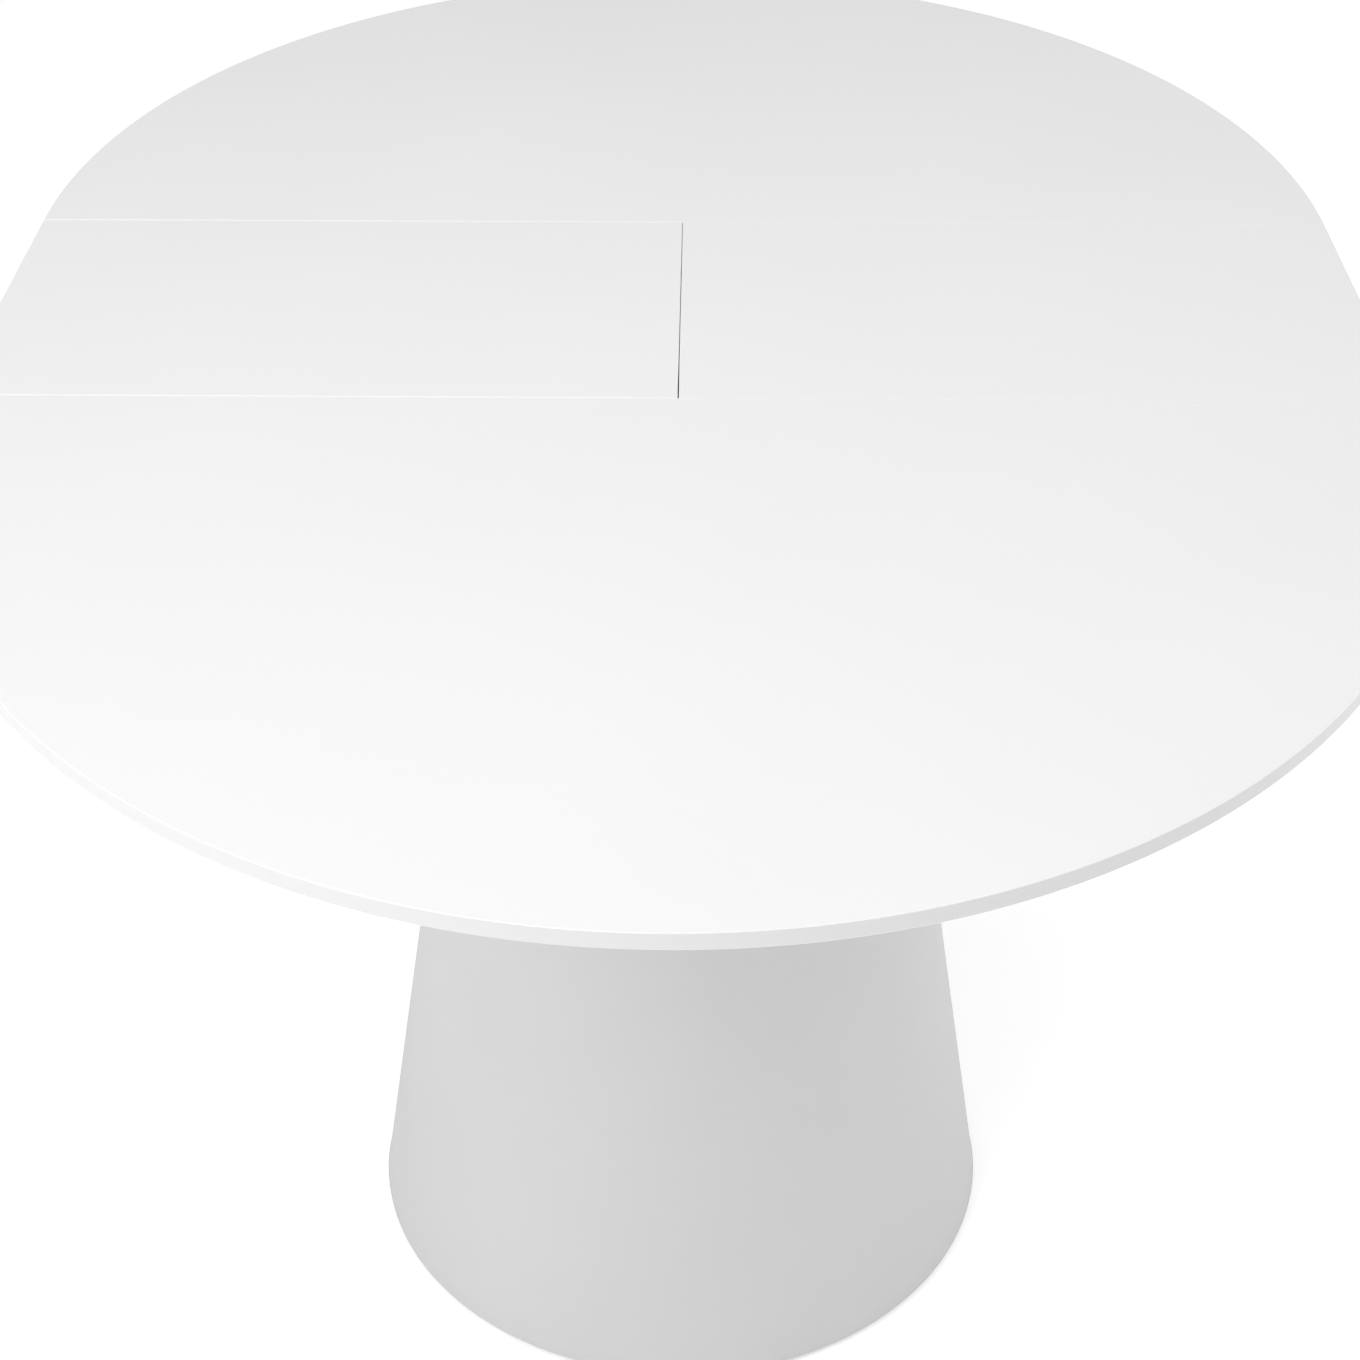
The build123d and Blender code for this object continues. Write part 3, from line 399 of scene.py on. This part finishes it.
def turned(name, profile, body, slot):
    """A piece turned about Z from a closed outline of (radius, height) points."""
    steps = 256
    verts = []
    for k in range(steps):
        t = 2 * pi * k / steps
        verts += [(r * cos(t), r * sin(t), z) for r, z in profile]
    count = len(profile)
    faces = []
    for k in range(steps):
        for i in range(count):
            j = (i + 1) % count
            a, b = k * count, (k + 1) % steps * count
            faces.append((a + i, a + j, b + j, b + i))
    return piece(name, verts, faces, body, slot)


def base_shell():
    """The tapered shell with a rounded foot and a rolled top lip."""
    low, high = shell_low.z, shell_high.z
    points = [v.co for v in frame["nodes"]["base_shell"].data.vertices]
    neck = max(p.xy.length for p in points if p.z > high - 1e-5)
    foot = max(p.xy.length for p in points if p.z < low + 10 * MM)
    slope = (foot - neck) / (high - low)
    inner_foot = foot - SHELL_WALL

    def outside(z):
        return foot - slope * (z - low)

    foot_steps, side_steps, lip_steps = 8, 40, 6
    side_low, side_run = low + 4 * MM, high - low - 6 * MM
    r, lip = SHELL_FOOT_ROUND, SHELL_LIP_ROUND
    foot_angles = [k * pi / 2 / foot_steps for k in range(foot_steps + 1)]
    lip_angles = [k * pi / 2 / lip_steps for k in range(1, lip_steps + 1)]
    side_heights = [side_low + side_run * k / side_steps for k in range(side_steps + 1)]
    profile = [(inner_foot, low + 0.4 * MM), (inner_foot + 1 * MM, low)]
    profile += [(foot - r + r * sin(a), low + r - r * cos(a)) for a in foot_angles]
    profile += [(outside(z), z) for z in side_heights]
    profile += [(outside(high) - lip + lip * cos(a), high - lip + lip * sin(a))
                for a in lip_angles]
    profile += [(neck - SHELL_LIP_WIDTH, high), (neck - SHELL_LIP_WIDTH, high - SHELL_WALL),
                (neck - SHELL_WALL, high - SHELL_WALL - 1 * MM), (inner_foot, low + 20 * MM)]
    obj = turned("base_shell_skin", profile, "pedestal", "white_shell")
    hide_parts("base_shell")


half_board("top_rear_board", "top_half_rear", "rear_half", 1)
half_board("top_front_board", "top_half_front", "front_half", -1)
leaf_board("leaf_right_board", "leaf_right", "leaf_right_half", 1)
leaf_board("leaf_left_board", "leaf_left", "leaf_left_half", -1)
base_shell()

# ---- Carried-over hardware -----------------------------------------------------------------

slot_of = {row["node"]: row["material_slot"] for row in frame["record"]["subparts"]}
for name, node in frame["nodes"].items():
    node.data.materials.clear()
    node.data.materials.append(materials[slot_of[name]])
    node.data.shade_smooth()
    node.data.set_sharp_from_angle(angle=HARDWARE_SMOOTH_ANGLE)

# ---- Floor, light, camera ------------------------------------------------------------------

FLOOR_REACH = 60.0
FLOOR_GLOW_FROM, FLOOR_GLOW_TO = 1.2, 3.0          # distances from the table's middle
FLOOR_GLOW_NEAR, FLOOR_GLOW_FAR = 0.395, 0.43
WORLD_STRENGTH = 0.45

# name, place, target, diameter, watts
LIGHTS = [
    ("left_side", (-2.8, -1.2, 1.9), (0, 0, 0.45), 1.6, 12.6),
    ("front_left", (-1.8, -2.6, 2.4), (0, -0.2, 0.6), 1.6, 30.2),
    ("front_top", (-0.5, -1.5, 2.3), (-0.1, -0.45, 0.76), 1.2, 10.3),
    ("overhead", (0, 0, 3.4), (0, 0, 0.7), 2.4, 26.0),
    ("right_side", (2.8, 0.3, 1.5), (0, 0, 0.45), 1.4, 20.8),
]

# Fitted to the photo's outline of the top, its seams and the pedestal
CAMERA_PLACE = Vector((0.0176, -1.5707, SURFACE + 0.7414))
PITCH, YAW, ROLL = radians(33.47), radians(-0.66), radians(0.03)
LENS, SENSOR = 68.974, 36.0                        # mm
CLIP_START, CLIP_END = 0.01, 60


def floor():
    """A plain pale floor that glows, a little more away from the table; the glow is painted
    light that washes out the table's shadow on the floor.
    """
    mesh = bpy.data.meshes.new("floor")
    r = FLOOR_REACH
    mesh.from_pydata([(-r, -r, 0), (r, -r, 0), (r, r, 0), (-r, r, 0)], [], [(0, 1, 2, 3)])
    nodes = Nodes("pale_floor")
    nodes.set(Base_Color=(0.95, 0.95, 0.95, 1), Roughness=0.9, Emission_Color=(1, 1, 1, 1))
    away = nodes.add("ShaderNodeVectorMath", operation="LENGTH")
    nodes.link(nodes.coordinates, away.inputs[0])
    # Painted light: the floor's glow washes out the table's shadow on it
    glow = nodes.map_range(away.outputs["Value"], FLOOR_GLOW_FROM, FLOOR_GLOW_TO,
                           FLOOR_GLOW_NEAR, FLOOR_GLOW_FAR)
    nodes.link(glow, nodes.shader.inputs["Emission Strength"])
    mesh.materials.append(nodes.material)
    obj = bpy.data.objects.new("floor", mesh)
    scene.collection.objects.link(obj)


def studio():
    """A plain pale world around the table."""
    world = bpy.data.worlds.new("studio")
    world.use_nodes = True
    background = world.node_tree.nodes["Background"]
    background.inputs["Color"].default_value = (1, 1, 1, 1)
    background.inputs["Strength"].default_value = WORLD_STRENGTH
    scene.world = world


def area_light(name, place, target, diameter, watts):
    """A round area light that faces its target."""
    data = bpy.data.lights.new(name, "AREA")
    data.shape = "DISK"
    data.size = diameter
    data.energy = watts
    obj = bpy.data.objects.new(name, data)
    obj.location = place
    obj.rotation_mode = "QUATERNION"
    obj.rotation_quaternion = (Vector(target) - Vector(place)).to_track_quat("-Z", "Y")
    scene.collection.objects.link(obj)


def camera():
    """The photo's camera, from its pitch, yaw and roll."""
    ahead = Vector((sin(YAW) * cos(PITCH), cos(YAW) * cos(PITCH), -sin(PITCH)))
    right = Vector((cos(YAW), -sin(YAW), 0))
    down = ahead.cross(right)
    turned_right = cos(ROLL) * right + sin(ROLL) * down
    turned_down = cos(ROLL) * down - sin(ROLL) * right
    data = bpy.data.cameras.new("camera")
    data.lens, data.sensor_width = LENS, SENSOR
    data.clip_start, data.clip_end = CLIP_START, CLIP_END
    obj = bpy.data.objects.new("camera", data)
    axes = Matrix((turned_right, -turned_down, -ahead)).transposed()
    obj.matrix_world = Matrix.Translation(CAMERA_PLACE) @ axes.to_4x4()
    scene.collection.objects.link(obj)
    scene.camera = obj


floor()
studio()
for light in LIGHTS:
    area_light(*light)
camera()
